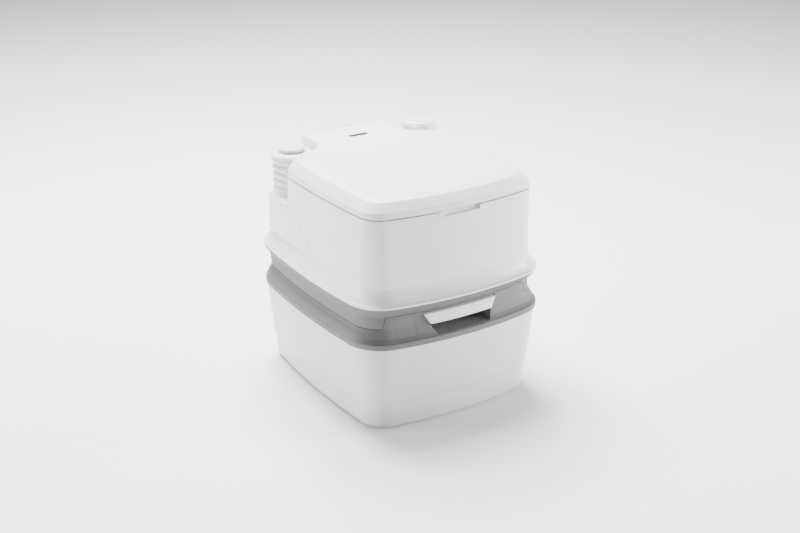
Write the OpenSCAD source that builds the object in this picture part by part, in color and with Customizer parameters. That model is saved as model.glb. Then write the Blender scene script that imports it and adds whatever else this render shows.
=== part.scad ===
/* [Outline] */
// Half width of the widest rim, where the white upper shell ends
rim_w = 194; // [180:1:205]
// Depth of the widest rim in front of the centre line
rim_d = 224; // [210:1:235]
// Radius of the slight bow of the front and rear
bow_front = 680; // [500:10:1200]
// Radius of the slight bow of the two sides
bow_side = 1450; // [900:10:3000]
// Radius of the vertical corners at the rim
corner_r = 66; // [40:1:80]

/* [Heights] */
// Height of the seam between the white waste tank and its grey top
lip_z = 156.6; // [150:0.1:162]
// Height of the parting line between the waste tank and the flush tank
part_z = 188.4; // [184:0.1:192]
// Height of the seam between the grey base and the white upper shell
rim_z = 229.6; // [224:0.1:236]
// Height of the crease where the upper shell starts to flare
flare_z = 259; // [250:1:270]
// Height of the shoulder that carries the flush pump
shoulder_z = 326; // [300:1:330]
// Height of the upper shell's deck, under the lid
deck_z = 375.6; // [370:0.1:378]
// Height of the lid's top at its rear
top_z = 413.5; // [408:0.5:414]

/* [Waste tank] */
// Wall of the moulded tanks
wall = 3.5; // [2.5:0.1:5]
// Radius of the hole that the slide valve closes
valve_r = 45; // [35:1:48]
// Travel of the valve blade and its handle
valve_travel = 98; // [90:1:104]
// Radius of the pouring spout's tube
spout_r = 25; // [20:0.5:26]
// Length of the pouring spout from its swivel to its end
spout_len = 150; // [120:1:155]

/* [Flush tank] */
// Half width of the bowl's mouth
bowl_w = 106; // [95:1:112]
// Half length of the bowl's mouth
bowl_l = 130; // [115:1:136]
// Outer radius of the pump's bellows
bellows_r = 35; // [30:1:37]
// Travel of the flush pump
pump_travel = 32; // [20:1:36]
// Outer radius of the fluted fill cap
cap_r = 33; // [30:1:36]

/* [Hidden] */

white = [0.93, 0.93, 0.93];
pale_grey = [0.86, 0.86, 0.87];
mid_grey = [0.60, 0.60, 0.61];
dark_grey = [0.30, 0.30, 0.31];
steel = [0.75, 0.75, 0.77];

gap = 0.3;            // clearance between bodies that move apart
run_fit = 0.06;       // radial clearance of a pin or plunger in its bore
past = 60;            // how far a cutting tool runs past the part
front_steps = 4;      // segments along half of a bowed front or rear
corner_steps = 6;     // segments round a vertical corner
side_steps = 5;       // segments along a bowed side

pump_x = -131;        // centre of the flush pump
pump_y = 141;
cap_x = 140;           // centre of the fill cap
cap_y = 144;
notch_r = 46;         // radius of the lid's bay round the pump and the fill cap
ear_x = 150;          // the lid's rear ears end here
ear_y = 82;
tail_x = 85;          // half width of the lid's rear extension
tail_y = 190;         // rear end of the lid's extension
hinge_y = 172;        // axis of the seat and lid hinge
hinge_z = 396;
pin_r = 4;
blade_z = 182.2;      // underside of the valve blade
blade_t = 2.8;
stem_w = 30;          // half width of the stem between the blade and its handle
tray_z = 180;         // top of the waste tank's sunk deck
hump_top = 207.5;     // top of the grey hump behind the handle
hump_back = -165;
swivel_x = -72;       // vertical axis of the pouring spout
swivel_y = 158;
spout_z = 151;        // height of the spout's tube
bay_z = 120;          // floor of the spout's bay
vent_x = -128;        // centre of the air vent button
vent_y = 60;

// --- outlines -------------------------------------------------------------

// Point where two circles meet; side is +1 or -1
function meet(c1, r1, c2, r2, side) =
    let (d = norm(c2 - c1), a = (r1 * r1 - r2 * r2 + d * d) / (2 * d),
         h = sqrt(max(r1 * r1 - a * a, 0)), u = (c2 - c1) / d)
    c1 + a * u + side * h * [-u[1], u[0]];

function heading(from, to) = atan2(to[1] - from[1], to[0] - from[0]);

function arc(c, r, a0, a1, n, first = 0) =
    [for (i = [first:n]) c + r * [cos(a0 + (a1 - a0) * i / n), sin(a0 + (a1 - a0) * i / n)]];

// Bowed rounded rectangle: half width w, front depth df, rear depth db, corner radii rf and rb
function outline(w, df, db, rf, rb) =
    let (cf = [0, bow_front - df], cb = [0, db - bow_front], cs = [w - bow_side, 0],
         kf = meet(cf, bow_front - rf, cs, bow_side - rf, 1),
         kb = meet(cb, bow_front - rb, cs, bow_side - rb, -1),
         half = concat(arc(cf, bow_front, -90, heading(cf, kf), front_steps),
            arc(kf, rf, heading(cf, kf), heading(cs, kf), corner_steps, 1),
            arc(cs, bow_side, heading(cs, kf), heading(cs, kb), side_steps, 1),
            arc(kb, rb, heading(cs, kb), heading(cb, kb), corner_steps, 1),
            arc(cb, bow_front, heading(cb, kb), 90, front_steps, 1)))
    concat(half, [for (i = [len(half) - 2:-1:1]) [-half[i][0], half[i][1]]]);

// One ring of a loft: [z, half width, front, rear, front corner, rear corner, rise towards the rear]
function ring(s, inset = 0) =
    let (rise = len(s) > 6 ? s[6] : 0,
         flat = outline(s[1] - inset, s[2] - inset, s[3] - inset,
            max(s[4] - inset, 4), max(s[5] - inset, 4)))
    [for (p = flat) [p[0], p[1], s[0] + rise * (p[1] + s[2]) / (s[2] + s[3])]];

// Closed solid through rings of equal length, from the lowest to the highest
module loft(rings) {
    n = len(rings[0]);
    last = (len(rings) - 1) * n;
    walls = [for (k = [0:len(rings) - 2]) for (i = [0:n - 1])
        let (j = (i + 1) % n, a = k * n + i, b = k * n + j, c = b + n, d = a + n)
        each [[a, d, c], [a, c, b]]];
    polyhedron(points = [for (r = rings) each r],
        faces = concat([[for (i = [0:n - 1]) i]], walls, [[for (i = [n - 1:-1:0]) last + i]]));
}

module body_loft(table, inset = 0) {
    loft([for (s = table) ring(s, inset)]);
}

function mix(a, b, t) = a + (b - a) * t;

// One section of the grey band: height, inset of the sides, inset of the front
function band(z, side_in, front_in) =
    let (t = (z - lip_z) / (rim_z - lip_z))
    [z, mix(rim_w + 1.4, rim_w, t) - side_in, rim_d - front_in,
     mix(rim_d - 16, rim_d - 1, t) - side_in, corner_r - side_in, corner_r - side_in];

waste_table = [
    [0, 164, 197, 190, 38, 38],
    [3, 171, 204.5, 197, 44, 44],
    [9, 174, 207, 200, 46, 46],
    [50, 177.5, 210, 202, 48, 48],
    [54, 180, 212.5, 204, 50, 50],
    [lip_z, 191.4, 219.5, 207, 58, 58]];

lower_band = [
    band(lip_z, 0.8, 0.8), band(160, 0, 0), band(164, 0, 1), band(168, 1, 5),
    band(173, 3, 9), band(179, 7.5, 12.5), band(184, 11.5, 15), band(part_z, 13, 17)];

upper_band = [
    band(part_z + gap, 13, 17), band(hump_top, 12.2, 20), band(211, 11, 18.5),
    band(218, 6.5, 9), band(225, 1.5, 2), band(rim_z, 0.3, 0.3)];

shell_table = [
    [rim_z, rim_w, rim_d, rim_d - 1, corner_r, corner_r],
    [233, rim_w - 2, rim_d - 2.5, rim_d - 4, corner_r - 2, corner_r - 2],
    [241, 184, 215.5, 214, 60, 62],
    [250, 179, 211, 209, 54, 58],
    [flare_z, 176, 208.5, 207, 50, 56],
    [deck_z, 173.2, 203.6, 205, 38, 54]];

lid_table = [
    [deck_z + 2.2, 173.3, 203.7, 200, 38, 50],
    [386, 172.8, 203.2, 200, 38, 50, 2],
    [397.5, 167, 197.5, 197, 40, 50, 5],
    [402.5, 160.5, 191, 193, 40, 48, 7],
    [404.5, 150, 180, 190, 36, 46, top_z - 404.5]];

// Plan of the bay that the lid and the upper shell leave free round the pump; grow widens it
module bay_plan(grow = 0) {
    polygon(concat(
        [[-220, ear_y - grow], [-ear_x, ear_y - grow]],
        arc([pump_x, pump_y], notch_r + grow, -65, 0, 8),
        [[-tail_x + grow, 240], [-220, 240]]));
}

module bay(z0, grow = 0) {
    translate([0, 0, z0]) linear_extrude(200) bay_plan(grow);
}

// Prism across the front: half width at z0 and at z1, from the far front back to y_back
module front_wedge(w0, w1, z0, z1, y_back) {
    translate([0, y_back, 0]) rotate([90, 0, 0]) linear_extrude(past + 60)
        polygon([[-w0, z0], [w0, z0], [w1, z1], [-w1, z1]]);
}

module box(x0, x1, y0, y1, z0, z1) {
    translate([x0, y0, z0]) cube([x1 - x0, y1 - y0, z1 - z0]);
}

module tube(r_out, r_in, z0, z1) {
    translate([0, 0, z0]) difference() {
        cylinder(r = r_out, h = z1 - z0, $fn = 96);
        translate([0, 0, -1]) cylinder(r = r_in, h = z1 - z0 + 2, $fn = 96);
    }
}

// Pouring spout's bay at the rear of the waste tank
module spout_bay(grow = 0) {
    box(-108 - grow, 130 + grow, 124 - grow, 260, bay_z - grow, 182.4 + (grow > 0 ? 2 : 0));
}

// --- waste tank -----------------------------------------------------------

module waste_tank_body() {
    color(pale_grey) difference() {
        body_loft(waste_table);
        loft([ring([wall, 166, 199, 192, 40, 40], wall),
            ring([50, 177.5, 210, 202, 48, 48], wall),
            ring([lip_z + 1, 191.4, 219.5, 207, 58, 58], wall)]);
        spout_bay(wall);
    }
}

module hump(grow = 0) {
    intersection() {
        body_loft([band(tray_z - 10, 13 + grow, 15 + grow), band(part_z, 13 + grow, 17 + grow),
            band(hump_top - grow, 12.2 + grow, 20 + grow)]);
        front_wedge(147 - grow + 3, 138 - grow, tray_z - 6, hump_top, hump_back - grow);
    }
}

module pocket(grow = 0) {
    front_wedge(52.6 + grow, 73.5 + grow, 168 - grow, 205 - grow / 4, -172 + grow);
}

module tank_top_skin() {
    body_loft(lower_band);
    hump();
}

module waste_tank_top() {
    color(mid_grey) difference() {
        union() {
            difference() {
                tank_top_skin();
                // inside, under the deck
                loft([ring(band(lip_z - 1, wall, wall)), ring(band(166, wall, wall + 1)),
                    ring(band(tray_z - wall, 7.5 + wall, 12.5 + wall))]);
                // sunk deck that the flush tank's outlet stands in
                box(-118, 118, -160, 118, tray_z, 230);
                // inside of the hump
                hump(wall);
            }
            intersection() {
                pocket(wall);
                tank_top_skin();
            }
            // walls of the spout's bay
            intersection() {
                spout_bay(wall);
                body_loft([band(bay_z - 10, 4, 4), band(168, 1, 4), band(part_z, 13, 17)]);
            }
            translate([vent_x, vent_y, 166]) cylinder(r = 15, h = tray_z - 168, $fn = 64);
        }
        pocket();
        spout_bay();
        // slot for the valve blade's stem
        box(-stem_w - gap, stem_w + gap, -180, -150, blade_z - gap, blade_z + blade_t + gap);
        translate([0, 0, 150]) cylinder(r = valve_r + 5, h = 60, $fn = 96);
        translate([vent_x, vent_y, 100]) cylinder(r = 11, h = 120, $fn = 64);
        translate([swivel_x, swivel_y, 100]) cylinder(r = 27, h = 30, $fn = 96);
        for (p = valve_screw_spots) translate([p[0], p[1], 170]) cylinder(r = 1.8, h = 20, $fn = 32);
        window_cut();
        // the rear strip is cut back where the latch hooks over it
        box(-18.5, 18.5, 199, 260, 182, 190);
    }
}

module window_cut() {
    box(-126, -90, -230, -189, 171, 203);
}

module level_window() {
    color(pale_grey) intersection() {
        tank_top_skin();
        window_cut();
    }
}

// --- slide valve ----------------------------------------------------------

valve_screw_spots = [for (x = [-58, 58]) for (y = [-52, 0, 52]) [x, y]];

module valve_frame() {
    color(dark_grey) difference() {
        box(-64, 64, -59 - valve_travel, 62, tray_z, 188);
        box(-53, 53, -170, 56, blade_z - gap, blade_z + blade_t + gap);
        translate([0, 0, 170]) cylinder(r = valve_r, h = 40, $fn = 96);
        translate([0, 0, 186.2]) cylinder(r = valve_r + 5, h = 10, $fn = 96);
        for (p = valve_screw_spots) {
            translate([p[0], p[1], 170]) cylinder(r = 2, h = 40, $fn = 32);
            translate([p[0], p[1], 185.6]) cylinder(r = 3.6, h = 10, $fn = 32);
        }
    }
}

module valve_seal() {
    color(dark_grey) rotate_extrude($fn = 96)
        polygon([[valve_r, 186.2], [valve_r + 5, 186.2], [valve_r + 5, 188], [valve_r + 2.5, 188.4],
            [valve_r, 188]]);
}

module valve_screws() {
    color(steel) for (p = valve_screw_spots) translate([p[0], p[1], 0]) {
        translate([0, 0, 174]) cylinder(r = 1.8, h = 12, $fn = 32);
        difference() {
            translate([0, 0, 185.6]) cylinder(r = 3.4, h = 2, $fn = 48);
            box(-2.4, 2.4, -0.4, 0.4, 186.8, 190);
            box(-0.4, 0.4, -2.4, 2.4, 186.8, 190);
        }
    }
}

module valve_blade() {
    color(pale_grey) {
        box(-52, 52, -55, 55, blade_z, blade_z + blade_t);
        box(-stem_w, stem_w, -190, -55, blade_z, blade_z + blade_t);
        box(-stem_w, stem_w, -190, -186, blade_z, 188.6);
    }
}

module valve_handle() {
    color(white) difference() {
        intersection() {
            body_loft([band(172, 6, 6), band(186, 12, 12.5), band(203.6, 12, 15.5)]);
            front_wedge(61.3, 72.4, 185, 203.6, -190);
        }
        // hollow behind the grip face
        intersection() {
            body_loft([band(172, 6, 9.5), band(186, 12, 16), band(203.6, 12, 19)]);
            front_wedge(58, 67, 188.6, 200.6, -150);
        }
    }
}

// --- air vent -------------------------------------------------------------

module vent_cage() {
    color(mid_grey) translate([vent_x, vent_y, 0]) difference() {
        tube(15, 11, 150, 166);
        for (a = [0, 90]) rotate(a) box(-20, 20, -3, 3, 153, 161);
    }
    color(mid_grey) translate([vent_x, vent_y, 0]) tube(11, 4.6, 150, 152);
}

// Closed coil shown as a stack of rings
module coil(r, wire, z0, z1, turns) {
    pitch = (z1 - z0 - 2 * wire) / (turns - 1);
    rotate_extrude($fn = 48) for (k = [0:turns - 1])
        translate([r, z0 + wire + k * pitch]) circle(r = wire, $fn = 16);
    for (a = [0, 180]) rotate(a) box(r - wire / 2, r + wire / 2, -wire / 2, wire / 2,
        z0 + wire, z1 - wire);
}

module vent_spring() {
    color(steel) translate([vent_x, vent_y, 0]) coil(8, 0.7, 152, 167.6, 6);
}

module vent_button() {
    color(white) translate([vent_x, vent_y, 0]) {
        translate([0, 0, 167.8]) cylinder(r = 11 - run_fit, h = 19.6, $fn = 64);
        translate([0, 0, 146]) cylinder(r = 4, h = 22, $fn = 32);
    }
}

module vent_seal() {
    color(dark_grey) translate([vent_x, vent_y, 0]) tube(10, 4, 146.5, 149.5);
}

// --- pouring spout --------------------------------------------------------

module spout_ring() {
    color(mid_grey) translate([swivel_x, swivel_y, 0]) tube(33, spout_r + 0.5, bay_z, bay_z + 5);
}

module spout_seal() {
    color(dark_grey) translate([swivel_x, swivel_y, 0]) tube(27, 22 + run_fit, bay_z - wall, bay_z);
}

// Straight tube along X from the swivel's axis; x counts from that axis
module spout_bar(r, x0, x1) {
    translate([swivel_x + x0, swivel_y, spout_z]) rotate([0, 90, 0]) cylinder(r = r, h = x1 - x0, $fn = 96);
}

module pour_spout() {
    color(pale_grey) difference() {
        union() {
            translate([swivel_x, swivel_y, bay_z + gap]) cylinder(r = spout_r, h = 56, $fn = 96);
            translate([swivel_x, swivel_y, bay_z - 8]) cylinder(r = 22, h = 10, $fn = 96);
            spout_bar(spout_r - 2, 0, spout_len - 20);
            spout_bar(spout_r - 3, 0, spout_len);
            spout_bar(spout_r, spout_len - 28, spout_len - 24);
            for (k = [0:2]) spout_bar(spout_r - 2.2, spout_len - 16 + 5 * k, spout_len - 14 + 5 * k);
        }
        spout_bar(spout_r - 6, 0, spout_len + 1);
        translate([swivel_x, swivel_y, bay_z - 10]) cylinder(r = 19, h = 50, $fn = 96);
    }
}

module spout_cap_gasket() {
    color(dark_grey) translate([swivel_x, swivel_y, spout_z]) rotate([0, 90, 0])
        tube(spout_r - 2.2, spout_r - 6, spout_len + gap, spout_len + gap + 2);
}

module spout_cap() {
    cap_end = spout_len + 2 * gap + 2;
    color(mid_grey) difference() {
        union() {
            spout_bar(spout_r + 2, spout_len - 18, cap_end + 4);
            for (a = [0:30:330]) translate([swivel_x + spout_len - 18, swivel_y, spout_z])
                rotate([a, 0, 0]) translate([0, 0, spout_r + 2]) rotate([0, 90, 0])
                    cylinder(r = 1.8, h = cap_end + 22 - spout_len, $fn = 24);
        }
        spout_bar(spout_r - 1.6, spout_len - 19, cap_end);
    }
}

// --- flush tank -----------------------------------------------------------

module base_notch(grow = 0) {
    front_wedge(148.5 + 2 + grow, 139 + grow, part_z - 8, hump_top + 0.6 + grow, hump_back + 1 + grow);
}

module latch_recess(grow = 0) {
    box(-24 - grow, 24 + grow, 193.5 - grow, 260, 180, 223 + grow);
}

module flush_tank_base() {
    color(mid_grey) difference() {
        union() {
            difference() {
                body_loft(upper_band);
                loft([ring(band(part_z + gap + wall, 13 + wall, 20 + wall)),
                    ring(band(211, 12 + wall, 20 + wall)), ring(band(225, 1.5 + wall, 2 + wall)),
                    ring(band(rim_z + 1, wall, wall))]);
            }
            intersection() {
                body_loft(upper_band);
                union() {
                    base_notch(wall);
                    latch_recess(wall);
                }
            }
            tube(valve_r + 9, valve_r - 2, part_z + gap, 204);
        }
        base_notch();
        latch_recess();
        translate([0, 0, 180]) cylinder(r = valve_r - 2, h = 16.2, $fn = 96);
        translate([0, 0, 196]) cylinder(r = valve_r + 4, h = 20, $fn = 96);
        translate([0, 0, 180]) cylinder(r = valve_r + 5, h = 12, $fn = 96);
    }
    // ears for the latch pin
    color(mid_grey) for (s = [-1, 1]) difference() {
        box(s * 20 - 2, s * 20 + 2, 190, 204, 209, 221);
        translate([s * 20 - 5, 199.5, 215]) rotate([0, 90, 0]) cylinder(r = 2, h = 10, $fn = 32);
    }
}

// Space inside the upper shell, above and below the shoulder
module shell_cavity() {
    difference() {
        loft([ring([rim_z - 1, rim_w, rim_d, rim_d - 1, corner_r, corner_r], wall),
            ring([241, 184, 215.5, 214, 60, 62], wall), ring([flare_z, 176, 208.5, 207, 50, 56], wall),
            ring([deck_z - wall, 173.2, 203.6, 205, 38, 54], wall)]);
        bay(shoulder_z - wall, wall);
        box(-tail_x - 12, tail_x + 12, 142, 260, 364, 400);
        box(-44, 44, -230, -194, 362, 400);
    }
}

module finger_scoop() {
    translate([0, -196.5, 0]) rotate([90, 0, 0]) linear_extrude(40)
        polygon([[-33, 367.5], [33, 367.5], [38.4, deck_z + 1], [-38.4, deck_z + 1]]);
}

module bowl_mouth(grow = 0) {
    linear_extrude(80) polygon([for (a = [0:9:351]) bowl_rim(a, grow)]);
}

function bowl_rim(a, grow = 0) = [(bowl_w + grow) * cos(a), bowl_mid + (bowl_l + grow) * sin(a)];
bowl_mid = -42;       // centre of the bowl's mouth

module flush_tank_shell() {
    color(white) difference() {
        body_loft(shell_table);
        shell_cavity();
        bay(shoulder_z);
        // trough under the hinge
        box(-tail_x - 8, tail_x + 8, 146, 260, 368, 400);
        translate([0, 0, 350]) bowl_mouth(3);
        finger_scoop();
        translate([pump_x, pump_y, 300]) cylinder(r = 22, h = 30, $fn = 96);
        translate([cap_x, cap_y, 360]) cylinder(r = 27, h = 30, $fn = 96);
    }
    // cranked brackets that hold the hinge pins and let the open lid lie past them
    color(white) for (s = [-1, 1]) difference() {
        union() {
            box(s * 60 - 4, s * 60 + 4, 143, 150, 366, hinge_z);
            box(s * 60 - 4, s * 60 + 4, 143, hinge_y, hinge_z - 7.5, hinge_z);
            translate([s * 60 - 4, hinge_y, hinge_z]) rotate([0, 90, 0]) cylinder(r = 8, h = 8, $fn = 64);
        }
        translate([s * 60 - 9, hinge_y, hinge_z]) rotate([0, 90, 0]) cylinder(r = pin_r, h = 18, $fn = 64);
    }
}

// Ring of the bowl, t from 0 at the outlet to 1 at the mouth
function bowl_ring(t, grow) =
    let (s = pow(t, 0.62), r0 = valve_r + 3)
    [for (a = [0:9:351]) [(mix(r0, bowl_w + 3, s) + grow) * cos(a),
        bowl_mid * s + (mix(r0, bowl_l + 3, s) + grow) * sin(a), mix(205, deck_z, t)]];

function at_height(ring, z) = [for (p = ring) [p[0], p[1], z]];

module bowl() {
    levels = [0.03, 0.09, 0.2, 0.36, 0.56, 0.78];
    color(white) difference() {
        loft(concat([at_height(bowl_ring(0, 0), 196)], [for (t = [0, each levels, 1]) bowl_ring(t, 0)]));
        loft(concat([at_height(bowl_ring(0, -3), 190)], [for (t = [0, each levels]) bowl_ring(t, -3)],
            [at_height(bowl_ring(1, -3), deck_z + 1)]));
        rinse_line() cylinder(r = 7, h = 120, $fn = 48);
    }
}

module outlet_seal() {
    color(dark_grey) rotate_extrude($fn = 96)
        polygon([[valve_r - 2, part_z + 2 * gap], [valve_r + 4, part_z + 2 * gap],
            [valve_r + 5, 189.8], [valve_r + 5, 192], [valve_r - 2, 192]]);
}

// Straight line from the pump's outlet to the bowl's rear left rim
module rinse_line() {
    translate([-119, 123, 280]) rotate([0, 51.3, -52.2]) children();
}

module rinse_hose() {
    color(pale_grey) rinse_line() tube(7, 5, 8, 98);
}

module rinse_nozzle() {
    color(white) rinse_line() difference() {
        union() {
            translate([0, 0, 98]) cylinder(r = 6.9, h = 20, $fn = 48);
            translate([0, 0, 118]) cylinder(r = 10, h = 4, $fn = 48);
        }
        translate([0, 0, 97]) cylinder(r = 4, h = 22, $fn = 48);
        for (a = [0:60:300]) rotate(a) translate([3.4, 0, 117]) cylinder(r = 0.9, h = 8, $fn = 24);
    }
}

// --- flush pump -----------------------------------------------------------

bellows_top = shoulder_z + 68;
pump_foot = shoulder_z - pump_travel - 24;    // bottom of the pump's chamber
pleats = 5;

module dip_tube() {
    color(pale_grey) translate([pump_x, pump_y, 0]) {
        tube(6, 4.4, 206, pump_foot + 2);
        tube(22, 19, pump_foot + 1, shoulder_z);
        tube(22, 4.4, pump_foot, pump_foot + 3);
    }
}

module pump_collar() {
    color(white) translate([pump_x, pump_y, 0]) {
        tube(bellows_r + 1, 19, shoulder_z, shoulder_z + 3);
        tube(bellows_r + 1, bellows_r - 2, shoulder_z + 2.9, shoulder_z + 6.8);
    }
}

module pump_spring() {
    color(steel) translate([pump_x, pump_y, 0]) coil(15, 1.1, shoulder_z + 3, bellows_top, 8);
}

module pump_bellows() {
    z0 = shoulder_z + 3;
    pitch = (bellows_top - z0) / pleats;
    crest = bellows_r;
    root = bellows_r - 5;
    outer = [for (k = [0:pleats - 1]) each [
        [k == 0 ? bellows_r - 2 : root, z0 + pitch * k],
        [k == 0 ? bellows_r - 2 : root, z0 + pitch * (k + 0.3)],
        [crest, z0 + pitch * (k + 0.55)], [crest, z0 + pitch * (k + 0.75)]]];
    color(white) translate([pump_x, pump_y, 0]) rotate_extrude($fn = 96)
        polygon(concat([[root - 2.5, z0]], outer, [[root, bellows_top], [root - 2.5, bellows_top]]));
}

module pump_flange() {
    color(white) translate([pump_x, pump_y, 0]) rotate_extrude($fn = 96)
        polygon([[0, bellows_top], [bellows_r + 1, bellows_top], [bellows_r + 3, bellows_top + 2],
            [bellows_r + 2.4, bellows_top + 5], [bellows_r - 4, bellows_top + 8], [19, bellows_top + 8],
            [19, bellows_top + 4], [0, bellows_top + 4]]);
}

module pump_button() {
    color(white) translate([pump_x, pump_y, 0]) rotate_extrude($fn = 96)
        polygon([[0, bellows_top + 4], [18.9, bellows_top + 4], [18.9, bellows_top + 11],
            [23.5, bellows_top + 12], [24.5, bellows_top + 14], [23, bellows_top + 16],
            [14, bellows_top + 17.4], [0, bellows_top + 18]]);
}

// --- fill neck and cap ----------------------------------------------------

cap_top = 418;
neck_top = 400;

module fill_neck() {
    color(white) translate([cap_x, cap_y, 0]) {
        tube(27, 22, 362, neck_top);
        tube(31, 26.9, deck_z, deck_z + 3);
        for (z = [384, 388, 392]) tube(28.2, 26.9, z, z + 1.6);
    }
}

module fill_cap_gasket() {
    color(dark_grey) translate([cap_x, cap_y, 0]) tube(27.5, 22, neck_top + gap, neck_top + 2.3);
}

module fill_cap() {
    color(white) translate([cap_x, cap_y, 0]) difference() {
        union() {
            rotate_extrude($fn = 96) polygon([[0, deck_z + 4.5], [cap_r - 2.2, deck_z + 4.5],
                [cap_r - 2.6, cap_top - 6], [cap_r - 7, cap_top - 1.5], [12, cap_top], [0, cap_top]]);
            for (a = [0:45:315]) rotate(a) translate([cap_r - 7, 0, deck_z + 4.5])
                cylinder(r = 7, h = cap_top - 7 - deck_z - 4.5, $fn = 48);
        }
        translate([0, 0, 370]) cylinder(r = 28.5, h = neck_top + 2.6 - 370, $fn = 96);
    }
}

// --- seat and lid ---------------------------------------------------------

// Lug of a hinge leaf at x, with its running bore; drop is how far it reaches below the axis
module hinge_lug(x, w) {
    difference() {
        union() {
            translate([x, hinge_y, hinge_z]) rotate([0, 90, 0]) cylinder(r = 7.5, h = w, $fn = 64);
            children();
        }
        translate([x - 1, hinge_y, hinge_z]) rotate([0, 90, 0])
            cylinder(r = pin_r + run_fit, h = w + 2, $fn = 64);
    }
}

module hinge_pins() {
    color(steel) for (s = [-1, 1]) translate([s > 0 ? 50 : -81.5, hinge_y, hinge_z])
        rotate([0, 90, 0]) cylinder(r = pin_r, h = 31.5, $fn = 64);
}

seat_z = deck_z + 3.4;

module seat() {
    color(white) difference() {
        body_loft([[seat_z, 165.5, 196, 152, 34, 30], [seat_z + 9, 165, 195.5, 152, 34, 30],
            [seat_z + 15, 161, 191, 149, 32, 28], [seat_z + 17.6, 153, 183, 143, 28, 24]]);
        bay(350, 8);
        mirror([1, 0, 0]) bay(350, 8);
        translate([0, 0, 360]) bowl_mouth(-6);
        box(-94, 94, 141, 200, 350, 420);
    }
    color(white) for (s = [-1, 1]) hinge_lug(s > 0 ? 65 : -72, 7)
        box(s > 0 ? 65 : -72, s > 0 ? 72 : -65, 138, hinge_y, hinge_z - 7.5, hinge_z - 1);
}

module seat_buffers() {
    color(dark_grey) for (x = [-128, 128]) for (y = [-150, 45])
        translate([x, y, deck_z + gap]) cylinder(r = 8, h = seat_z - deck_z - gap, $fn = 48);
}

// The lid's top ring and the height of its roof at a given y
roof_ring = lid_table[len(lid_table) - 1];
lid_slope = atan(roof_ring[6] / (roof_ring[2] + roof_ring[3]));
badge_y = 130;
function lid_roof(y) = roof_ring[0] + (y + roof_ring[2]) * tan(lid_slope);

module lid_skin(inset = 0, drop = 0) {
    difference() {
        loft([for (s = lid_table) [for (p = ring(s, inset)) p - [0, 0, s[0] > deck_z + 3 ? drop : 1]]]);
        bay(350, inset);
        mirror([1, 0, 0]) bay(350, inset);
    }
}

module lid() {
    color(white) difference() {
        lid_skin();
        intersection() {
            lid_skin(3, 3);
            box(-220, 220, -240, tail_y - 3, 350, 420);
        }
        box(-220, 220, tail_y, 260, 350, 420);
        // the extension's underside, raised clear of the trough
        box(-tail_x - 10, tail_x + 10, 146, 260, 350, 387.5);
        // slots that let the rear wall swing past the hinge brackets
        for (s = [-1, 1]) box(s * 60 - 5, s * 60 + 5, 184, 200, 350, 406.5);
    }
    color(white) for (s = [-1, 1]) hinge_lug(s > 0 ? 74 : -80, 6)
        box(s > 0 ? 74 : -80, s > 0 ? 80 : -74, hinge_y - 7, hinge_y + 7, hinge_z, lid_roof(hinge_y) - 2);
}

module lid_buffers() {
    foot = seat_z + 17.6 + gap;
    color(dark_grey) for (x = [-132, 132]) for (y = [-150, 40])
        translate([x, y, foot]) cylinder(r = 6, h = lid_roof(y) - 3.5 - foot, $fn = 48);
}

module lid_badge() {
    color(dark_grey) translate([0, badge_y, lid_roof(badge_y)]) rotate([lid_slope, 0, 0])
        box(-19, 19, -5, 5, 0, 0.7);
}

// --- rear latch -----------------------------------------------------------

module latch_pin() {
    color(steel) translate([-22, 199.5, 215]) rotate([0, 90, 0]) cylinder(r = 2, h = 44, $fn = 32);
}

module rear_latch() {
    color(dark_grey) difference() {
        union() {
            translate([-17.5, 199.5, 215]) rotate([0, 90, 0]) cylinder(r = 4.5, h = 35, $fn = 48);
            box(-17.5, 17.5, 202.6, 206, 178, 215);
            box(-17.5, 17.5, 199.4, 203, 178, 181.7);
        }
        translate([-25, 199.5, 215]) rotate([0, 90, 0]) cylinder(r = 2 + run_fit, h = 50, $fn = 32);
    }
}

waste_tank_body();
waste_tank_top();
level_window();
valve_frame();
valve_seal();
valve_screws();
valve_blade();
valve_handle();
vent_cage();
vent_spring();
vent_button();
vent_seal();
spout_ring();
spout_seal();
pour_spout();
spout_cap_gasket();
spout_cap();
flush_tank_base();
flush_tank_shell();
bowl();
outlet_seal();
rinse_hose();
rinse_nozzle();
dip_tube();
pump_collar();
pump_spring();
pump_bellows();
pump_flange();
pump_button();
fill_neck();
fill_cap_gasket();
fill_cap();
hinge_pins();
latch_pin();
rear_latch();
seat();
seat_buffers();
lid();
lid_buffers();
lid_badge();
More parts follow.
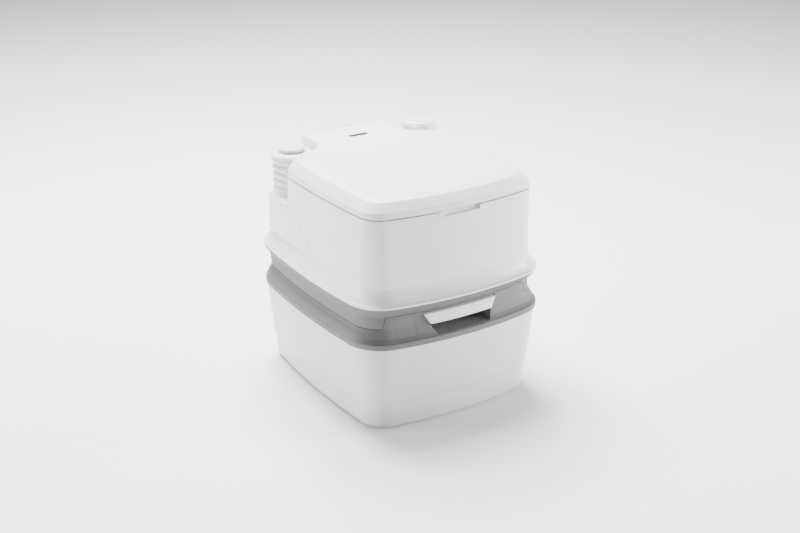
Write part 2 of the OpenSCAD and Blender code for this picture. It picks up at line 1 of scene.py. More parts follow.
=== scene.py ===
import bpy
import numpy as np
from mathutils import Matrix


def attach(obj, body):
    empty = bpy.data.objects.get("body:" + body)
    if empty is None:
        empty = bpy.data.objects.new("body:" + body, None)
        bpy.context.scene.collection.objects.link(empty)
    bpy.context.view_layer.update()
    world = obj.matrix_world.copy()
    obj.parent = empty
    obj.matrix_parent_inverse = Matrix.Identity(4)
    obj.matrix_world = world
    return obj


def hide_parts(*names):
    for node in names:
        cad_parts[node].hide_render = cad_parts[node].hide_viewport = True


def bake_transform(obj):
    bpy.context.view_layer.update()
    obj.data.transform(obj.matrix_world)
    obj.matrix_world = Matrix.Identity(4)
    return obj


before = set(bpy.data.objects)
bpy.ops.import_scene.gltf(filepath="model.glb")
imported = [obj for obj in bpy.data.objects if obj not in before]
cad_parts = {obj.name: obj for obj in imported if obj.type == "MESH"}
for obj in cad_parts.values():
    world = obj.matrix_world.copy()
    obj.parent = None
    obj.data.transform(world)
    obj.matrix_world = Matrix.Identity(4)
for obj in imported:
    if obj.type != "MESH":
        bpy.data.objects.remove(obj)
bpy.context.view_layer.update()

# --- Waste tank -----------------------------------------------------------
# The lower tank is one pale polyethylene moulding, open at its top edge where
# the grey deck is welded in. Its sides lean out towards that edge and have a
# fine foot line near the floor. All sizes are in millimetres until mesh_of.
LIP, WALL = 156.6, 3.5
BOW, SIDE_BOW = 680.0, 1450.0
STEPS = (16, 18, 30, 14, 12)


def meet(c1, r1, c2, r2, side):
    """The point where two circles cross, on the given side of the line between their centres."""
    d = np.hypot(*(c2 - c1))
    a = (r1 * r1 - r2 * r2 + d * d) / (2 * d)
    h = np.sqrt(max(r1 * r1 - a * a, 0.0))
    u = (c2 - c1) / d
    return c1 + a * u + side * h * np.array([-u[1], u[0]])


def arc(centre, radius, start, end, steps):
    """Points centre + radius (cos a, sin a), with a going evenly from start towards end, end left out."""
    a = start + (end - start) * np.arange(steps) / steps
    return np.column_stack([centre[0] + radius * np.cos(a), centre[1] + radius * np.sin(a)])


def heading(a, b):
    return np.arctan2(b[1] - a[1], b[0] - a[0])


def outline(w, front, rear, rf, rb):
    """A rounded rectangle whose front, rear and sides are wide arcs joined by corner arcs of radius rf and rb."""
    cf, cb, cs = np.array([0, BOW - front]), np.array([0, rear - BOW]), np.array([w - SIDE_BOW, 0])
    kf = meet(cf, BOW - rf, cs, SIDE_BOW - rf, 1)
    kb = meet(cb, BOW - rb, cs, SIDE_BOW - rb, -1)
    half = np.vstack([
        arc(cf, BOW, -np.pi / 2, heading(cf, kf), STEPS[0]),
        arc(kf, rf, heading(cf, kf), heading(cs, kf), STEPS[1]),
        arc(cs, SIDE_BOW, heading(cs, kf), heading(cs, kb), STEPS[2]),
        arc(kb, rb, heading(cs, kb), heading(cb, kb), STEPS[3]),
        arc(cb, BOW, heading(cb, kb), np.pi / 2, STEPS[4]),
        [[0, rear]]])
    return np.vstack([half, (half * [-1, 1])[-2:0:-1]])


def ring(station, inset=0.0):
    """One level of a loft: the outline at a height that may rise evenly from the front to the rear."""
    z, w, front, rear, rf, rb, rise = (list(station) + [0.0])[:7]
    flat = outline(w - inset, front - inset, rear - inset, max(rf - inset, 4), max(rb - inset, 4))
    return np.column_stack([flat, z + rise * (flat[:, 1] + front) / (front + rear)])


def eased(stations, reach, steps=5):
    """Stations with each inner corner replaced by a quadratic curve that leaves it `reach` before and after."""
    rows = np.array([(list(s) + [0.0])[:7] for s in stations], float)
    out = [rows[:1]]
    for before, here, after in zip(rows[:-2], rows[1:-1], rows[2:]):
        back, on = before - here, after - here
        tb = min(reach / np.linalg.norm(back[:4]), 0.48)
        to = min(reach / np.linalg.norm(on[:4]), 0.48)
        t = np.linspace(0, 1, steps)[:, None]
        out.append((1 - t) ** 2 * (here + tb * back) + 2 * t * (1 - t) * here + t ** 2 * (here + to * on))
    return np.vstack(out + [rows[-1:]])


def mesh_of(name, points, faces):
    """A new object from points in millimetres and faces as index rows, linked to the scene."""
    mesh = bpy.data.meshes.new(name)
    mesh.from_pydata((np.asarray(points, float) * 0.001).tolist(), [], faces)
    piece = bpy.data.objects.new(name, mesh)
    bpy.context.scene.collection.objects.link(piece)
    return piece


def loft(name, rings):
    """A closed solid through rings of equal length, lowest first, with each end fanned to its middle."""
    rings = np.asarray(rings, float)
    rows, n = rings.shape[:2]
    i = np.arange(n)
    j = (i + 1) % n
    k = (np.arange(rows - 1) * n)[:, None]
    walls = np.stack([k + i, k + j, k + j + n, k + i + n], -1).reshape(-1, 4)
    last = (rows - 1) * n
    ends = [np.column_stack([j, i, np.full(n, rows * n)]),
            np.column_stack([last + i, last + j, np.full(n, rows * n + 1)])]
    points = np.vstack([rings.reshape(-1, 3), rings[0].mean(0), rings[-1].mean(0)])
    return mesh_of(name, points, walls.tolist() + ends[0].tolist() + ends[1].tolist())


def body_loft(name, stations, inset=0.0):
    return loft(name, [ring(s, inset) for s in stations])


def prism(name, plan, low, high, axis=2):
    """A flat outline drawn out from low to high along an axis; it is given in the other two axes in turn."""
    plan = np.asarray(plan, float)
    area = np.sum(plan[:, 0] * np.roll(plan[:, 1], -1) - plan[:, 1] * np.roll(plan[:, 0], -1))
    plan = plan if area > 0 else plan[::-1]
    ends = [np.insert(plan, 2, level, axis=1) for level in (low, high)]
    order = {0: [2, 0, 1], 1: [1, 2, 0], 2: [0, 1, 2]}[axis]
    n = len(plan)
    i = np.arange(n)
    walls = np.column_stack([i, (i + 1) % n, (i + 1) % n + n, i + n]).tolist()
    return mesh_of(name, np.vstack(ends)[:, order], walls + [i[::-1].tolist(), (i + n).tolist()])


def block(name, x0, x1, y0, y1, z0, z1):
    return prism(name, [[x0, y0], [x1, y0], [x1, y1], [x0, y1]], z0, z1)


def settle(piece):
    """Bakes the piece's modifiers into its mesh."""
    bpy.context.view_layer.update()
    done = bpy.data.meshes.new_from_object(piece.evaluated_get(bpy.context.evaluated_depsgraph_get()))
    piece.modifiers.clear()
    old, piece.data = piece.data, done
    bpy.data.meshes.remove(old)
    return piece


def joined(piece, *tools, how="UNION"):
    """Adds, cuts or keeps what is common, with each closed tool in turn; the tools are used up."""
    for tool in tools:
        step = piece.modifiers.new("step", "BOOLEAN")
        step.object, step.operation, step.solver = tool, how, "MANIFOLD"
        settle(piece)
        bpy.data.objects.remove(tool)
    return piece


def cut(piece, *tools):
    return joined(piece, *tools, how="DIFFERENCE")


def edge_angles(mesh):
    """Every edge's two end points, and the angle between the two faces that meet on it."""
    ends = np.empty(len(mesh.edges) * 2, int)
    mesh.edges.foreach_get("vertices", ends)
    co = np.empty(len(mesh.vertices) * 3)
    mesh.vertices.foreach_get("co", co)
    edge = np.empty(len(mesh.loops), int)
    mesh.loops.foreach_get("edge_index", edge)
    sides = np.empty(len(mesh.polygons), int)
    mesh.polygons.foreach_get("loop_total", sides)
    normal = np.empty(len(mesh.polygons) * 3)
    mesh.polygons.foreach_get("normal", normal)
    face = np.repeat(np.arange(len(sides)), sides)
    order = np.argsort(edge, kind="stable")
    edge, face = edge[order], face[order]
    pair = np.flatnonzero(edge[1:] == edge[:-1])
    normal = normal.reshape(-1, 3)
    cosine = (normal[face[pair]] * normal[face[pair + 1]]).sum(1)
    angle = np.zeros(len(mesh.edges))
    angle[edge[pair]] = np.arccos(np.clip(cosine, -1, 1))
    return co.reshape(-1, 3)[ends.reshape(-1, 2)] * 1000, angle


def rounded(piece, width, rule=None, segments=3, turn=0.6):
    """Rounds the piece's sharp edges by `width` mm; rule gives other shares of it from the edges' end points."""
    if width:
        mesh = piece.data
        ends, angle = edge_angles(mesh)
        share = np.where(angle > turn, 1.0, 0.0)
        if rule is not None:
            share *= rule(ends)
        weights = mesh.attributes.new("bevel_weight_edge", "FLOAT", "EDGE")
        weights.data.foreach_set("value", share.astype(np.float32))
        bevel = piece.modifiers.new("round", "BEVEL")
        bevel.limit_method, bevel.width, bevel.segments = "WEIGHT", width * 0.001, segments
        bevel.use_clamp_overlap = False
        settle(piece)
    mesh = piece.data
    mesh.shade_smooth()
    sharp = edge_angles(mesh)[1] > 0.62
    edges = mesh.attributes.get("sharp_edge") or mesh.attributes.new("sharp_edge", "BOOLEAN", "EDGE")
    edges.data.foreach_set("value", sharp)
    return piece


def wire(tree, value, socket):
    """Sets a socket to a number or colour, or links it to another node's output."""
    if isinstance(value, bpy.types.NodeSocket):
        tree.links.new(value, socket)
    else:
        socket.default_value = value


def node(tree, kind, settings=(), **inputs):
    """Adds a shader node, with its settings and its inputs by name."""
    made = tree.nodes.new(kind)
    for key, value in dict(settings).items():
        setattr(made, key, value)
    for key, value in inputs.items():
        wire(tree, value, made.inputs[key.replace("_", " ")])
    return made


def moulded(name, colour, rough, grain=900.0, depth=0.02, shift=0.03, swing=0.06, coat=0.0, scuffs=0.0):
    """Moulded plastic: a fine grain, a faint waviness of the wall, and slow changes of tint and gloss."""
    material = bpy.data.materials.new(name)
    material.use_nodes = True
    tree = material.node_tree
    shader = tree.nodes["Principled BSDF"]
    place = tree.nodes.new("ShaderNodeTexCoord").outputs["Object"]
    slow = node(tree, "ShaderNodeTexNoise", Vector=place, Scale=9.0, Detail=4.0)
    fine = node(tree, "ShaderNodeTexNoise", Vector=place, Scale=grain, Detail=3.0, Roughness=0.6)
    streak = node(tree, "ShaderNodeMapping", Vector=place, Scale=(900.0, 900.0, 40.0))
    rub = node(tree, "ShaderNodeTexNoise", Vector=streak.outputs[0], Scale=0.35, Detail=2.0)
    tone = node(tree, "ShaderNodeValToRGB", Fac=slow.outputs["Fac"])
    dark, light = [[c * (1 + s) for c in colour] + [1] for s in (-shift, shift)]
    tone.color_ramp.elements[0].position, tone.color_ramp.elements[0].color = 0.3, dark
    tone.color_ramp.elements[1].position, tone.color_ramp.elements[1].color = 0.7, light
    tree.links.new(tone.outputs["Color"], shader.inputs["Base Color"])
    mix = node(tree, "ShaderNodeMath", {"operation": "MULTIPLY_ADD"})
    wire(tree, rub.outputs["Fac"], mix.inputs[0])
    mix.inputs[1].default_value, mix.inputs[2].default_value = scuffs + swing, rough - swing / 2
    wave = node(tree, "ShaderNodeMath", {"operation": "MULTIPLY_ADD"})
    wire(tree, slow.outputs["Fac"], wave.inputs[0])
    wave.inputs[1].default_value = swing
    wire(tree, mix.outputs[0], wave.inputs[2])
    tree.links.new(wave.outputs[0], shader.inputs["Roughness"])
    wall = node(tree, "ShaderNodeBump", Strength=0.12, Distance=0.002, Height=slow.outputs["Fac"])
    bump = node(tree, "ShaderNodeBump", Strength=1.0, Distance=depth * 0.001, Height=fine.outputs["Fac"])
    tree.links.new(wall.outputs[0], bump.inputs["Normal"])
    tree.links.new(bump.outputs[0], shader.inputs["Normal"])
    shader.inputs["Coat Weight"].default_value = coat
    shader.inputs["Coat Roughness"].default_value = 0.2
    return material


def dressed(piece, material, body, slot, *nodes):
    """Gives a new piece its material, its body and the CAD nodes it stands for; slot is not used."""
    piece.data.materials.clear()
    piece.data.materials.append(material)
    if body:
        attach(piece, body)
    if nodes:
        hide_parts(*nodes)
    return piece


TANK = [[0, 164, 197, 190, 38, 38], [3, 171, 204.5, 197, 44, 44], [9, 174, 207, 200, 46, 46],
        [49.5, 177.2, 209.7, 201.8, 48, 48], [53, 180, 212.5, 204, 50, 50], [LIP, 191.4, 219.5, 207, 58, 58]]
pale_tank = moulded("pale tank plastic", (0.67, 0.672, 0.68), 0.42, grain=700, depth=0.03)
tank = body_loft("waste_tank", eased(TANK, 0.9))
cut(tank,
    loft("hollow", [ring([WALL, 166, 199, 192, 40, 40], WALL), ring([50, 177.5, 210, 202, 48, 48], WALL),
                    ring([LIP + 1, 191.4, 219.5, 207, 58, 58], WALL)]),
    block("spout bay", -108 - WALL, 130 + WALL, 124 - WALL, 260, 120 - WALL, 184.4))
rounded(tank, 0.6)
dressed(tank, pale_tank, "waste_tank", "tank_pale", "waste_tank_body")

# --- Grey deck of the waste tank ------------------------------------------
# A grey moulding closes the waste tank. Its lip overhangs the tank, its neck
# leans in to the parting line, and at the front it rises in a hump with the
# pocket for the fingers. The rear has the bay for the pouring spout.
PARTING, RIM = 188.4, 229.6
RIM_W, RIM_D, CORNER = 194.0, 224.0, 66.0
HUMP_TOP, TRAY = 207.5, 180.0
WINDOW = (-126, -90, -230, -189, 171, 203)


def kept(piece, *tools):
    return joined(piece, *tools, how="INTERSECT")


def band(z, side_in, front_in):
    """A level of the grey band, set in from the straight line between the lip's and the rim's outlines."""
    t = (z - LIP) / (RIM - LIP)
    return [z, RIM_W + 1.4 * (1 - t) - side_in, RIM_D - front_in,
            RIM_D - 16 + 15 * t - side_in, CORNER - side_in, CORNER - side_in]


def front_wedge(name, w0, w1, z0, z1, y_back):
    """A prism through the front whose half width changes from w0 at z0 to w1 at z1."""
    return prism(name, [[z0, -w0], [z0, w0], [z1, w1], [z1, -w1]], y_back - 120, y_back, axis=1)


def hump(grow):
    rise = body_loft("hump", [band(TRAY - 10, 13 + grow, 15 + grow), band(PARTING, 13 + grow, 17 + grow),
                              band(HUMP_TOP - grow, 12.2 + grow, 20 + grow)])
    return kept(rise, front_wedge("sides", 150 - grow, 138 - grow, TRAY - 6, HUMP_TOP, -165 - grow))


def deck_skin(name):
    skin = body_loft(name, eased([band(LIP, 0.8, 0.8), band(157.8, 0, 0), band(166.4, 0.2, 0.8), band(167.6, 1.5, 3.4),
                                  band(173, 4.2, 9), band(179, 7.8, 12.5), band(184, 11.2, 15),
                                  band(PARTING, 13, 17)], 0.8, 4))
    return joined(skin, hump(0))


def pocket(grow):
    return front_wedge("pocket", 52.6 + grow, 73.5 + grow, 168 - grow, 205 - grow / 4, -172 + grow)


def bay_box(grow):
    return block("bay", -108 - grow, 130 + grow, 124 - grow, 260, 120 - grow, 182.4 + (2 if grow else 0))


def rod(name, x, y, z0, z1, radius, n=96):
    """An upright round bar."""
    a = np.arange(n) * 2 * np.pi / n
    return prism(name, np.column_stack([x + radius * np.cos(a), y + radius * np.sin(a)]), z0, z1)


deck = deck_skin("tank_deck")
cut(deck,
    loft("under", [ring(band(LIP - 1, WALL, WALL)), ring(band(166, WALL, WALL + 1)),
                   ring(band(TRAY - WALL, 7.5 + WALL, 12.5 + WALL))]),
    block("tray", -118, 118, -160, 118, TRAY, 230), hump(WALL))
joined(deck, kept(pocket(WALL), deck_skin("skin")),
       kept(bay_box(WALL), body_loft("edge", [band(110, 4, 4), band(168, 1, 4), band(PARTING, 13, 17)])),
       rod("vent seat", -128, 60, 166, TRAY - 2, 15))
cut(deck, pocket(0), bay_box(0), block("stem slot", -30.3, 30.3, -180, -150, 181.9, 185.3),
    rod("outlet", 0, 0, 150, 210, 50), rod("vent hole", -128, 60, 100, 220, 11),
    rod("swivel", -72, 158, 100, 130, 27), block("window", *WINDOW),
    block("latch strip", -18.5, 18.5, 199, 260, 182, 190),
    *[rod("screw", x, y, 170, 190, 1.8, 24) for x in (-58, 58) for y in (-52, 0, 52)])
rounded(deck, 0.7)
grey_plastic = moulded("grey moulding", (0.125, 0.127, 0.131), 0.58, grain=1500, depth=0.035, shift=0.025)
dressed(deck, grey_plastic, "waste_tank", "tank_grey", "waste_tank_top")

# The level window is a thinner, paler patch in the hump's left side, which
# the contents show through. It is moulded in and lies flush with the hump.
window = kept(deck_skin("window_patch"), block("frame", *WINDOW))
rounded(window, 0.35)
dressed(window, moulded("window plastic", (0.14, 0.142, 0.146), 0.52, grain=1500, depth=0.025),
        "waste_tank", "window_grey", "level_window")

# --- Slide valve ----------------------------------------------------------
# A dark frame screwed into the sunk deck guides a pale flat blade under the
# outlet. The blade's stem runs forward through a slot to the white handle,
# a hollow moulding that fills the pocket's upper half.
handle = kept(body_loft("valve_grip", eased([band(172, 6, 6), band(186, 12, 12.5), band(203.6, 12, 15.5)], 3)),
              front_wedge("ends", 61.3, 72.4, 185, 203.6, -190))
cut(handle, kept(body_loft("hollow", [band(172, 6, 9.5), band(186, 12, 16), band(203.6, 12, 19)]),
                 front_wedge("ends", 58, 67, 188.6, 200.6, -150)))


def grip_edges(ends):
    """Full rounding on the handle's outer face, a tenth inside it."""
    inner = (np.abs(ends[..., 0]).max(1) < 66.8) & (ends[..., 2].min(1) > 188) & (ends[..., 2].max(1) < 201)
    return np.where(inner, 0.25, 1.0)


rounded(handle, 1.3, grip_edges)


def dress_nodes(material, *names):
    """Gives carried-over CAD nodes a better material; their meshes stay as they are."""
    for name in names:
        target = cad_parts[name]
        if target.material_slots:
            for held in target.material_slots:
                held.material = material
        else:
            target.data.materials.append(material)


white_plastic = moulded("white moulding", (0.80, 0.80, 0.805), 0.32, grain=1100, depth=0.012, coat=0.1)
dressed(handle, white_plastic, "valve", "white_moulding", "valve_handle")
dress_nodes(moulded("dark moulding", (0.065, 0.066, 0.07), 0.45, grain=1500, depth=0.03), "valve_frame", "rear_latch")
dress_nodes(moulded("blade plastic", (0.60, 0.60, 0.60), 0.3, grain=500, depth=0.01, scuffs=0.15), "valve_blade")
rubber = moulded("rubber", (0.035, 0.035, 0.037), 0.62, grain=2200, depth=0.03)
dress_nodes(rubber, "valve_seal", "vent_seal", "spout_seal", "spout_cap_gasket", "outlet_seal",
            "fill_cap_gasket", "seat_buffers", "lid_buffers")


def drawn_steel(name):
    """Bright drawn wire and turned pins: a metal with fine lines along it."""
    material = moulded(name, (0.55, 0.55, 0.56), 0.26, grain=2500, depth=0.006, scuffs=0.1)
    material.node_tree.nodes["Principled BSDF"].inputs["Metallic"].default_value = 1.0
    return material


steel = drawn_steel("drawn steel")
dress_nodes(steel, "valve_screws", "hinge_pins", "latch_pin")

# --- Air vent -------------------------------------------------------------
# A push button on the sunk deck lets air in while the tank is poured out. A
# light coil spring in a cage under the deck holds its rubber seal shut.
dress_nodes(white_plastic, "vent_button")
dress_nodes(grey_plastic, "vent_cage")


def spring(name, x, y, z0, z1, radius, wire_r, turns):
    """A round wire carried along a helix, with its ends wound flat: rings of 10 points round 28 steps a turn."""
    t = np.linspace(0, 1, int(28 * turns) + 1)
    turn = t * turns * 2 * np.pi
    climb = np.clip((t * turns - 0.75) / (turns - 1.5), 0, 1)
    z = z0 + wire_r + (z1 - z0 - 2 * wire_r) * climb
    spine = np.column_stack([x + radius * np.cos(turn), y + radius * np.sin(turn), z])
    out = np.column_stack([np.cos(turn), np.sin(turn), np.zeros_like(turn)])
    up = np.array([0.0, 0.0, 1.0])
    a = np.arange(10) * 2 * np.pi / 10
    rings = spine[:, None] + wire_r * (np.cos(a)[:, None] * out[:, None] + np.sin(a)[:, None] * up)
    return loft(name, rings)


vent_spring = rounded(spring("vent_coil", -128, 60, 152, 167.6, 8, 0.7, 6.5), 0)
dressed(vent_spring, steel, None, "steel", "vent_spring")
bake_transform(vent_spring)

# --- Pouring spout --------------------------------------------------------
# The pale spout swings out of its bay on a swivel in the tank's floor. A grey
# ring holds the swivel, and a grey screw cap with a gasket closes the end.
dress_nodes(moulded("spout plastic", (0.70, 0.70, 0.71), 0.38, grain=800, depth=0.02), "pour_spout", "dip_tube")
dress_nodes(grey_plastic, "spout_ring", "spout_cap")

# --- Grey base of the flush tank ------------------------------------------
# The flush tank's underside is a grey moulding that overhangs the neck. Its
# front is cut away over the deck's hump, and a collar under it carries the
# outlet seal. Two ears at the rear hold the latch's pin.


def base_notch(grow):
    return front_wedge("notch", 148.2 + grow, 138.3 + grow, PARTING - 8, HUMP_TOP + 0.6 + grow, -164 + grow)


def latch_recess(grow):
    return block("recess", -24 - grow, 24 + grow, 193.5 - grow, 260, 180, 223 + grow)


def base_skin(name):
    return body_loft(name, eased([band(PARTING + 0.3, 13, 17), band(HUMP_TOP, 12.2, 20), band(211, 11, 18.5),
                                  band(218, 6.8, 9.4), band(225, 2.4, 3), band(RIM, 1.5, 1.6)], 1.5, 5))


base = base_skin("flush_tank_foot")
cut(base, loft("hollow", [ring(band(PARTING + 0.3 + WALL, 13 + WALL, 20 + WALL)),
                          ring(band(211, 12 + WALL, 20 + WALL)), ring(band(225, 1.5 + WALL, 2 + WALL)),
                          ring(band(RIM + 1, WALL, WALL))]))
joined(base, kept(base_skin("skin"), joined(base_notch(WALL), latch_recess(WALL))),
       rod("collar", 0, 0, PARTING + 0.3, 204, 54))
cut(base, base_notch(0), latch_recess(0), rod("outlet", 0, 0, 180, 210, 43), rod("bowl seat", 0, 0, 196, 216, 49),
    rod("seal seat", 0, 0, 180, 192, 50))
joined(base, *[block("ear", s - 2, s + 2, 190, 204, 209, 221) for s in (-20, 20)])
a = np.arange(24) * np.pi / 12
cut(base, prism("pin hole", np.column_stack([199.5 + 2 * np.cos(a), 215 + 2 * np.sin(a)]), -30, 30, axis=0))


def notch_edges(ends):
    """Rounds the front notch's edges and the two rims; the lining behind them stays square."""
    x, y, z = np.abs(ends[..., 0]), ends[..., 1], ends[..., 2]
    side = np.abs(x - 148.2 + 9.9 * (z - PARTING + 8) / (HUMP_TOP + 8.6 - PARTING)) < 0.1
    top = np.abs(z - HUMP_TOP - 0.6) < 0.1
    rims = (z < PARTING + 0.4).all(1) | (z > RIM - 0.1).all(1)
    return np.where(((side | top) & (y < -150)).all(1) | rims, 1.0, 0.0)


rounded(base, 0.6, notch_edges)
dressed(base, grey_plastic, "flush_tank", "tank_grey", "flush_tank_base")

# --- Upper shell of the flush tank ----------------------------------------
# The white shell flares at its foot and is welded to the grey base. A corner
# of it stops lower, as the shoulder that carries the pump, and the deck on
# top has the bowl's mouth, a trough for the hinge and a scoop for a finger.
FLARE, SHOULDER, DECK = 259.0, 326.0, 375.6
PUMP, CAP = np.array([-131.0, 141.0]), np.array([140.0, 144.0])
HINGE = (172, 396)


def bay_plan(grow=0.0):
    """The bay that the lid and the shell leave round the pump, in plan; grow widens it."""
    bend = arc(PUMP, 46 + grow, np.radians(-65), 0, 24)
    return np.vstack([[-240, 82 - grow], [-150, 82 - grow], bend, [PUMP[0] + 46 + grow, PUMP[1]],
                      [-85 + grow, 260], [-240, 260]])


def bay(z0, grow=0.0, side=1):
    return prism("bay", bay_plan(grow) * [side, 1], z0, z0 + 200)


def mouth(name, grow, z0, z1, n=160):
    """The bowl's oval mouth as an upright oval bar."""
    a = np.arange(n) * 2 * np.pi / n
    return prism(name, np.column_stack([(106 + grow) * np.cos(a), -42 + (130 + grow) * np.sin(a)]), z0, z1)


SHELL = [[RIM, 193.6, 223.6, 222.6, 66, 66], [232.4, 193.8, 223.8, 222.8, 66, 66],
         [234.8, 189.4, 219.8, 217.8, 63, 64], [241, 184, 215.5, 214, 60, 62], [250, 179, 211, 209, 54, 58],
         [FLARE, 176, 208.5, 207, 50, 56], [297, 175.1, 206.9, 206.3, 46.2, 55.3], [336, 174.1, 205.3, 205.7, 42, 54.7],
         [364, 173.5, 204.1, 205.2, 39.2, 54.2], [DECK, 173.2, 203.6, 205, 38, 54]]
shell_stations = eased(SHELL, 1.2, 5)
shell = body_loft("flush_tank_shell_white", shell_stations)
# the block under the pump leaves the left side along a slanting line and stands out more to the rear
levels = np.array([ring(s, -0.5) for s in shell_stations])
start = np.interp(levels[..., 2], [260, 271, 304, 314, 321], [-16, -2.5, 37, 52, 80])
grown = 6.5 * np.clip((levels[..., 1] - start) / (190 - start), 0, 1) * np.clip((levels[..., 2] - RIM) / 30, 0, 1)
levels[..., 0] -= np.where(levels[..., 0] < -100, grown, 0.0)
proud = loft("proud", levels)
kept(proud, prism("side", [[-16, 260], [-2.5, 271], [37, 304], [52, 314], [80, 321], [84, 340],
                           [250, 340], [250, 260]], -300, -110, axis=0))
joined(shell, proud)
hollow = loft("hollow", [ring([RIM - 1, 194, 224, 223, 66, 66], WALL), ring([241, 184, 215.5, 214, 60, 62], WALL),
                         ring([FLARE, 176, 208.5, 207, 50, 56], WALL),
                         ring([DECK - WALL, 173.2, 203.6, 205, 38, 54], WALL)])
cut(hollow, bay(SHOULDER - WALL, WALL), block("trough", -97, 97, 142, 260, 364, 400),
    block("scoop", -44, 44, -230, -194, 362, 400))
cut(shell, hollow, bay(SHOULDER), block("trough", -93, 93, 146, 260, 368, 400), mouth("mouth", 3, 350, 430),
    prism("scoop", [[-240, 366.8], [-204.2, 367.8], [-199.5, 369.8], [-197.2, 372.6], [-196.8, DECK + 1],
                    [-240, DECK + 1]], -36, 36, axis=0),
    rod("pump hole", *PUMP, 300, 340, 22), rod("cap hole", *CAP, 360, 390, 27))


def upright(name, x0, x1, y, z, radius, n=48):
    """A round bar along X."""
    a = np.arange(n) * 2 * np.pi / n
    return prism(name, np.column_stack([y + radius * np.cos(a), z + radius * np.sin(a)]), x0, x1, axis=0)


for s in (-60, 60):
    bracket = joined(block("leg", s - 4, s + 4, 143, 150, 366, 396), block("arm", s - 4, s + 4, 143, 172, 388.5, 396),
                     upright("boss", s - 4, s + 4, *HINGE, 8))
    joined(shell, cut(bracket, upright("pin hole", s - 9, s + 9, *HINGE, 4)))


def shell_edges(ends):
    """Rounds the shoulder's outer edge, the bay's upright corners and the finger scoop; the rest stays crisp."""
    low, high = ends[..., 2].min(1), ends[..., 2].max(1)
    x, y = np.abs(ends[..., 0]).min(1), ends[..., 1]
    shoulder = (low > SHOULDER - 0.1) & (high < SHOULDER + 0.1) & (ends[..., 0].max(1) < -90) & (y.min(1) > 84)
    run = np.hypot(*(ends[:, 1] - ends[:, 0])[:, :2].T)
    share = np.where(shoulder & ((x > 160) | (y.min(1) > 195)), 0.5, 0.0)
    share[(high - low > 4) & (high - low > 4 * run) & (low > SHOULDER - 1)] = 1.0
    share[(y.max(1) < -190) & (low > 360) & (ends[..., 0].max(1) < 38) & (x < 38)] = 0.3
    return share


rounded(shell, 1.8, shell_edges)
white_shell = moulded("white shell plastic", (0.80, 0.80, 0.805), 0.34, grain=650, depth=0.02, coat=0.08)
dressed(shell, white_shell, "flush_tank", "white_shell", "flush_tank_shell")

# --- Bowl and rinse -------------------------------------------------------
# The bowl is a thin white moulding that narrows from its oval mouth in the
# deck to a round spigot over the valve. A hose from the pump feeds a nozzle
# that points along its wall.


def bowl_level(t, grow, z, n=96):
    """The bowl's oval at t, from 0 at the outlet to 1 at the mouth: the sizes follow t to the power 0.62."""
    s, a = t ** 0.62, np.arange(n) * 2 * np.pi / n
    return np.column_stack([(48 + 61 * s + grow) * np.cos(a), -42 * s + (48 + 85 * s + grow) * np.sin(a),
                            np.full(n, z)])


steps = np.linspace(0, 1, 34) ** 1.4
height = 205 + (DECK - 205) * steps
bowl = loft("bowl_moulding", [bowl_level(0, 0, 196)] + [bowl_level(t, 0, z) for t, z in zip(steps, height)])
cut(bowl, loft("hollow", [bowl_level(0, -3, 190)] + [bowl_level(t, -3, z) for t, z in zip(steps[:-1], height[:-1])]
               + [bowl_level(1, -3, DECK + 1)]))
tilt, swing = np.radians(51.3), np.radians(-52.2)
aim = np.array([np.sin(tilt) * np.cos(swing), np.sin(tilt) * np.sin(swing), np.cos(tilt)])
across = np.array([-np.sin(swing), np.cos(swing), 0.0])
a = np.arange(48) * 2 * np.pi / 48
hoop = 7 * (np.cos(a)[:, None] * across + np.sin(a)[:, None] * np.cross(aim, across))
start = np.array([-119.0, 123.0, 280.0])
cut(bowl, loft("nozzle hole", [start + hoop, start + 120 * aim + hoop]))
rounded(bowl, 0.9)
dressed(bowl, moulded("bowl plastic", (0.80, 0.80, 0.80), 0.2, grain=400, depth=0.006, coat=0.3),
        "flush_tank", "bowl_white", "bowl")
dress_nodes(moulded("hose plastic", (0.72, 0.72, 0.72), 0.4, grain=600, depth=0.02), "rinse_hose")
dress_nodes(white_plastic, "rinse_nozzle", "pump_collar", "fill_neck")

# --- Flush pump -----------------------------------------------------------
# A soft white bellows stands on the shoulder over a return spring. Its top is
# clipped into a flange, and a round button is pressed into the flange.
BELLOWS_FOOT, BELLOWS_TOP = SHOULDER + 3, SHOULDER + 68


def turned(name, x, y, profile, n=96):
    """A closed profile of (radius, height) carried round an upright axis; points on the axis become one pole."""
    profile = np.asarray(profile, float)
    a = np.arange(n) * 2 * np.pi / n
    inner = profile[(profile[:, 0] > 1e-6)]
    rings = np.stack([x + inner[:, :1] * np.cos(a), y + inner[:, :1] * np.sin(a),
                      np.repeat(inner[:, 1:], n, axis=1)], -1)
    if len(inner) < len(profile):
        return loft(name, rings)
    rows = len(rings)
    i, j = np.arange(n), (np.arange(n) + 1) % n
    k = (np.arange(rows) * n)[:, None]
    m = ((np.arange(rows) + 1) % rows * n)[:, None]
    faces = np.stack([k + i, k + j, m + j, m + i], -1).reshape(-1, 4)
    return mesh_of(name, rings.reshape(-1, 3), faces.tolist())


def soft_profile(points, reach, steps=5):
    """A profile with each inner corner eased over `reach` mm."""
    rows = np.array(points, float)
    out = [rows[:1]]
    for before, here, after in zip(rows[:-2], rows[1:-1], rows[2:]):
        back, on = before - here, after - here
        tb, to = (min(reach / np.linalg.norm(v), 0.48) for v in (back, on))
        t = np.linspace(0, 1, steps)[:, None]
        out.append((1 - t) ** 2 * (here + tb * back) + 2 * t * (1 - t) * here + t ** 2 * (here + to * on))
    return np.vstack(out + [rows[-1:]])


